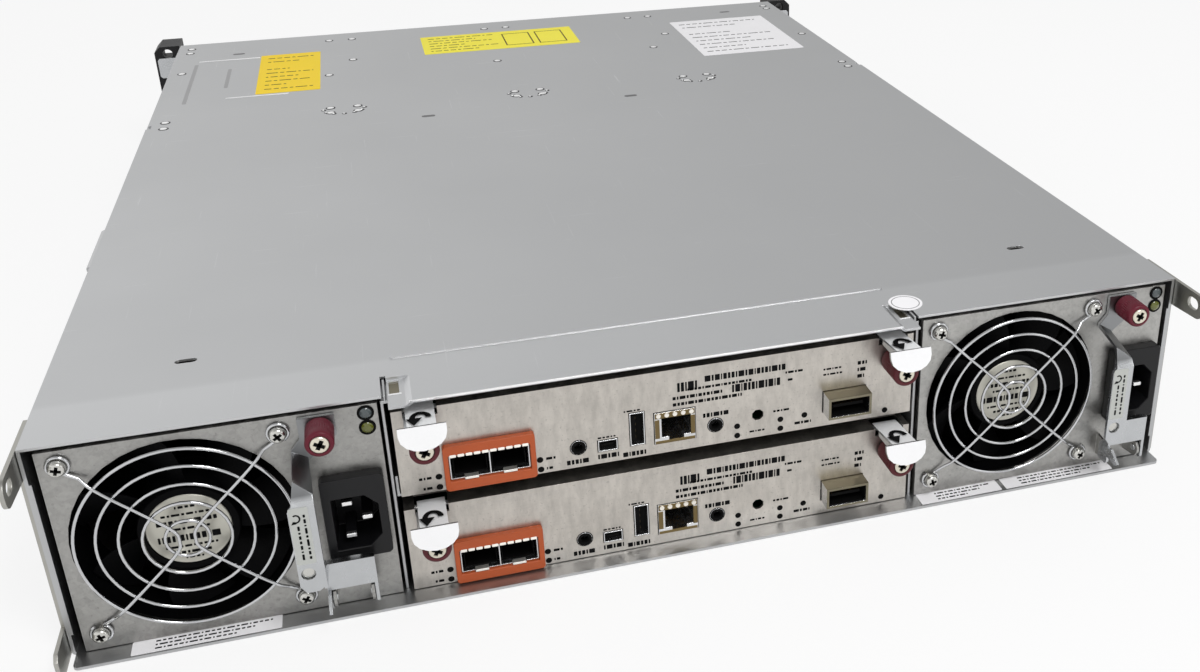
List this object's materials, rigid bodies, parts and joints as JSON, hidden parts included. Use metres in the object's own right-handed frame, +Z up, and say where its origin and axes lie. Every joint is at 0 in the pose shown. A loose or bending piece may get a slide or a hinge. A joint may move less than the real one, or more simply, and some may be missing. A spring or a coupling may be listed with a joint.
{
  "type": "rack-mounted disk storage enclosure",
  "caption": "Flat rack enclosure for disk modules, with sliding power supplies, levers and fans at the rear, stacked controllers with ports between them, and disk carriers with release handles.",
  "frame": {"origin": "on the underside, at the middle of the chassis's rear edge", "axes": "+X to the right seen from the rear, +Y from the rear panel towards the disk fronts, +Z up"},
  "size_m": [0.4826, 0.6065, 0.0877],
  "materials": {
    "chassis_steel": "zinc-plated sheet, satin",
    "cover_steel": "zinc-plated sheet with faint handling scratches",
    "supply_steel": "zinc-plated sheet, satin",
    "controller_steel": "warm grey plated sheet, fine brushed grain",
    "zinc_steel": "bright zinc plate",
    "latch_steel": "bright white plated sheet",
    "guard_wire": "bright nickel-plated wire",
    "fan_plastic": "black moulded plastic",
    "rotor_plastic": "black moulded plastic",
    "inlet_plastic": "black moulded plastic",
    "crimson_plastic": "crimson moulded cap",
    "maroon_plastic": "maroon moulded cap",
    "port_metal": "nickel-plated port shells on a board",
    "orange_paint": "orange painted frame",
    "circuit_board": "green circuit board",
    "ear_plastic": "black moulded plastic",
    "carrier_metal": "satin aluminium",
    "handle_plastic": "dark grey moulded plastic"
  },
  "bodies": {
    "root": {"base_tray": "chassis_steel", "top_cover": "cover_steel", "bay_frame": "chassis_steel", "drive_cage": "chassis_steel", "midplane": "circuit_board", "ear_brackets": "zinc_steel", "rack_ears": "ear_plastic", "rear_brackets": "zinc_steel"},
    "supply_left": {"supply_left_case": "supply_steel", "supply_left_fan_frame": "fan_plastic", "supply_left_fan_guard": "guard_wire", "supply_left_inlet": "inlet_plastic"},
    "supply_left_fan": {"supply_left_fan_rotor": "rotor_plastic"},
    "supply_left_lever_body": {"supply_left_lever": "zinc_steel"},
    "supply_left_screw": {"supply_left_thumbscrew": "crimson_plastic"},
    "supply_right": {"supply_right_case": "supply_steel", "supply_right_fan_frame": "fan_plastic", "supply_right_fan_guard": "guard_wire", "supply_right_inlet": "inlet_plastic"},
    "supply_right_fan": {"supply_right_fan_rotor": "rotor_plastic"},
    "supply_right_lever_body": {"supply_right_lever": "zinc_steel"},
    "supply_right_screw": {"supply_right_thumbscrew": "crimson_plastic"},
    "controller_lower": {"controller_lower_case": "controller_steel", "controller_lower_board": "port_metal", "controller_lower_bezel": "orange_paint"},
    "controller_lower_latch_left_body": {"controller_lower_latch_left": "latch_steel"},
    "controller_lower_thumbscrew_left_body": {"controller_lower_thumbscrew_left": "maroon_plastic"},
    "controller_lower_latch_right_body": {"controller_lower_latch_right": "latch_steel"},
    "controller_lower_thumbscrew_right_body": {"controller_lower_thumbscrew_right": "maroon_plastic"},
    "controller_upper": {"controller_upper_case": "controller_steel", "controller_upper_board": "port_metal", "controller_upper_bezel": "orange_paint"},
    "controller_upper_latch_left_body": {"controller_upper_latch_left": "latch_steel"},
    "controller_upper_thumbscrew_left_body": {"controller_upper_thumbscrew_left": "maroon_plastic"},
    "controller_upper_latch_right_body": {"controller_upper_latch_right": "latch_steel"},
    "controller_upper_thumbscrew_right_body": {"controller_upper_thumbscrew_right": "maroon_plastic"},
    "drive_01": {"drive_module_01": "carrier_metal"},
    "drive_handle_01_body": {"drive_handle_01": "handle_plastic"},
    "drive_02": {"drive_module_02": "carrier_metal"},
    "drive_handle_02_body": {"drive_handle_02": "handle_plastic"},
    "drive_03": {"drive_module_03": "carrier_metal"},
    "drive_handle_03_body": {"drive_handle_03": "handle_plastic"},
    "drive_04": {"drive_module_04": "carrier_metal"},
    "drive_handle_04_body": {"drive_handle_04": "handle_plastic"},
    "drive_05": {"drive_module_05": "carrier_metal"},
    "drive_handle_05_body": {"drive_handle_05": "handle_plastic"},
    "drive_06": {"drive_module_06": "carrier_metal"},
    "drive_handle_06_body": {"drive_handle_06": "handle_plastic"},
    "drive_07": {"drive_module_07": "carrier_metal"},
    "drive_handle_07_body": {"drive_handle_07": "handle_plastic"},
    "drive_08": {"drive_module_08": "carrier_metal"},
    "drive_handle_08_body": {"drive_handle_08": "handle_plastic"},
    "drive_09": {"drive_module_09": "carrier_metal"},
    "drive_handle_09_body": {"drive_handle_09": "handle_plastic"},
    "drive_10": {"drive_module_10": "carrier_metal"},
    "drive_handle_10_body": {"drive_handle_10": "handle_plastic"},
    "drive_11": {"drive_module_11": "carrier_metal"},
    "drive_handle_11_body": {"drive_handle_11": "handle_plastic"},
    "drive_12": {"drive_module_12": "carrier_metal"},
    "drive_handle_12_body": {"drive_handle_12": "handle_plastic"}
  },
  "joints": [
    {"name": "supply_left_slide", "type": "slide", "parent": "root", "child": "supply_left", "axis": [0, -1, 0], "range_m": [0, 0.33]},
    {"name": "supply_left_fan_spin", "type": "hinge", "parent": "supply_left", "child": "supply_left_fan", "pos_m": [-0.1765, 0.01, 0.0444], "axis": [0, 1, 0], "continuous": true},
    {"name": "supply_left_lever_hinge", "type": "hinge", "parent": "supply_left", "child": "supply_left_lever_body", "pos_m": [-0.1626, -0.0085, 0.011], "axis": [1, 0, 0], "range_deg": [0, 45]},
    {"name": "supply_left_screw_turn", "type": "hinge", "parent": "supply_left_lever_body", "child": "supply_left_screw", "pos_m": [-0.127, -0.008, 0.0796], "axis": [0, 1, 0], "continuous": true},
    {"name": "supply_right_slide", "type": "slide", "parent": "root", "child": "supply_right", "axis": [0, -1, 0], "range_m": [0, 0.33]},
    {"name": "supply_right_fan_spin", "type": "hinge", "parent": "supply_right", "child": "supply_right_fan", "pos_m": [0.1487, 0.01, 0.0444], "axis": [0, 1, 0], "continuous": true},
    {"name": "supply_right_lever_hinge", "type": "hinge", "parent": "supply_right", "child": "supply_right_lever_body", "pos_m": [0.1626, -0.0085, 0.011], "axis": [1, 0, 0], "range_deg": [0, 45]},
    {"name": "supply_right_screw_turn", "type": "hinge", "parent": "supply_right_lever_body", "child": "supply_right_screw", "pos_m": [0.1982, -0.008, 0.0796], "axis": [0, 1, 0], "continuous": true},
    {"name": "controller_lower_slide", "type": "slide", "parent": "root", "child": "controller_lower", "axis": [0, -1, 0], "range_m": [0, 0.36]},
    {"name": "controller_lower_latch_left_press", "type": "hinge", "parent": "controller_lower", "child": "controller_lower_latch_left_body", "pos_m": [-0.0923, 0.0045, 0.0345], "axis": [1, 0, 0], "range_deg": [0, 12]},
    {"name": "controller_lower_thumbscrew_left_turn", "type": "hinge", "parent": "controller_lower", "child": "controller_lower_thumbscrew_left_body", "pos_m": [-0.0923, -0.008, 0.0279], "axis": [0, 1, 0], "continuous": true},
    {"name": "controller_lower_latch_right_press", "type": "hinge", "parent": "controller_lower", "child": "controller_lower_latch_right_body", "pos_m": [0.0937, 0.0045, 0.0345], "axis": [1, 0, 0], "range_deg": [0, 12]},
    {"name": "controller_lower_thumbscrew_right_turn", "type": "hinge", "parent": "controller_lower", "child": "controller_lower_thumbscrew_right_body", "pos_m": [0.0937, -0.008, 0.0279], "axis": [0, 1, 0], "continuous": true},
    {"name": "controller_upper_slide", "type": "slide", "parent": "root", "child": "controller_upper", "axis": [0, -1, 0], "range_m": [0, 0.36]},
    {"name": "controller_upper_latch_left_press", "type": "hinge", "parent": "controller_upper", "child": "controller_upper_latch_left_body", "pos_m": [-0.0923, 0.0045, 0.0771], "axis": [1, 0, 0], "range_deg": [0, 12]},
    {"name": "controller_upper_thumbscrew_left_turn", "type": "hinge", "parent": "controller_upper", "child": "controller_upper_thumbscrew_left_body", "pos_m": [-0.0923, -0.008, 0.0705], "axis": [0, 1, 0], "continuous": true},
    {"name": "controller_upper_latch_right_press", "type": "hinge", "parent": "controller_upper", "child": "controller_upper_latch_right_body", "pos_m": [0.0937, 0.0045, 0.0771], "axis": [1, 0, 0], "range_deg": [0, 12]},
    {"name": "controller_upper_thumbscrew_right_turn", "type": "hinge", "parent": "controller_upper", "child": "controller_upper_thumbscrew_right_body", "pos_m": [0.0937, -0.008, 0.0705], "axis": [0, 1, 0], "continuous": true},
    {"name": "drive_01_slide", "type": "slide", "parent": "root", "child": "drive_01", "axis": [0, 1, 0], "range_m": [0, 0.22]},
    {"name": "drive_handle_01_swing", "type": "hinge", "parent": "drive_01", "child": "drive_handle_01_body", "pos_m": [-0.12325, 0.5713, 0.0144], "axis": [0, 0, -1], "range_deg": [0, 55]},
    {"name": "drive_02_slide", "type": "slide", "parent": "root", "child": "drive_02", "axis": [0, 1, 0], "range_m": [0, 0.22]},
    {"name": "drive_handle_02_swing", "type": "hinge", "parent": "drive_02", "child": "drive_handle_02_body", "pos_m": [-0.01175, 0.5713, 0.0144], "axis": [0, 0, -1], "range_deg": [0, 55]},
    {"name": "drive_03_slide", "type": "slide", "parent": "root", "child": "drive_03", "axis": [0, 1, 0], "range_m": [0, 0.22]},
    {"name": "drive_handle_03_swing", "type": "hinge", "parent": "drive_03", "child": "drive_handle_03_body", "pos_m": [0.09975, 0.5713, 0.0144], "axis": [0, 0, -1], "range_deg": [0, 55]},
    {"name": "drive_04_slide", "type": "slide", "parent": "root", "child": "drive_04", "axis": [0, 1, 0], "range_m": [0, 0.22]},
    {"name": "drive_handle_04_swing", "type": "hinge", "parent": "drive_04", "child": "drive_handle_04_body", "pos_m": [0.21125, 0.5713, 0.0144], "axis": [0, 0, -1], "range_deg": [0, 55]},
    {"name": "drive_05_slide", "type": "slide", "parent": "root", "child": "drive_05", "axis": [0, 1, 0], "range_m": [0, 0.22]},
    {"name": "drive_handle_05_swing", "type": "hinge", "parent": "drive_05", "child": "drive_handle_05_body", "pos_m": [-0.12325, 0.5713, 0.0417], "axis": [0, 0, -1], "range_deg": [0, 55]},
    {"name": "drive_06_slide", "type": "slide", "parent": "root", "child": "drive_06", "axis": [0, 1, 0], "range_m": [0, 0.22]},
    {"name": "drive_handle_06_swing", "type": "hinge", "parent": "drive_06", "child": "drive_handle_06_body", "pos_m": [-0.01175, 0.5713, 0.0417], "axis": [0, 0, -1], "range_deg": [0, 55]},
    {"name": "drive_07_slide", "type": "slide", "parent": "root", "child": "drive_07", "axis": [0, 1, 0], "range_m": [0, 0.22]},
    {"name": "drive_handle_07_swing", "type": "hinge", "parent": "drive_07", "child": "drive_handle_07_body", "pos_m": [0.09975, 0.5713, 0.0417], "axis": [0, 0, -1], "range_deg": [0, 55]},
    {"name": "drive_08_slide", "type": "slide", "parent": "root", "child": "drive_08", "axis": [0, 1, 0], "range_m": [0, 0.22]},
    {"name": "drive_handle_08_swing", "type": "hinge", "parent": "drive_08", "child": "drive_handle_08_body", "pos_m": [0.21125, 0.5713, 0.0417], "axis": [0, 0, -1], "range_deg": [0, 55]},
    {"name": "drive_09_slide", "type": "slide", "parent": "root", "child": "drive_09", "axis": [0, 1, 0], "range_m": [0, 0.22]},
    {"name": "drive_handle_09_swing", "type": "hinge", "parent": "drive_09", "child": "drive_handle_09_body", "pos_m": [-0.12325, 0.5713, 0.069], "axis": [0, 0, -1], "range_deg": [0, 55]},
    {"name": "drive_10_slide", "type": "slide", "parent": "root", "child": "drive_10", "axis": [0, 1, 0], "range_m": [0, 0.22]},
    {"name": "drive_handle_10_swing", "type": "hinge", "parent": "drive_10", "child": "drive_handle_10_body", "pos_m": [-0.01175, 0.5713, 0.069], "axis": [0, 0, -1], "range_deg": [0, 55]},
    {"name": "drive_11_slide", "type": "slide", "parent": "root", "child": "drive_11", "axis": [0, 1, 0], "range_m": [0, 0.22]},
    {"name": "drive_handle_11_swing", "type": "hinge", "parent": "drive_11", "child": "drive_handle_11_body", "pos_m": [0.09975, 0.5713, 0.069], "axis": [0, 0, -1], "range_deg": [0, 55]},
    {"name": "drive_12_slide", "type": "slide", "parent": "root", "child": "drive_12", "axis": [0, 1, 0], "range_m": [0, 0.22]},
    {"name": "drive_handle_12_swing", "type": "hinge", "parent": "drive_12", "child": "drive_handle_12_body", "pos_m": [0.21125, 0.5713, 0.069], "axis": [0, 0, -1], "range_deg": [0, 55]}
  ]
}
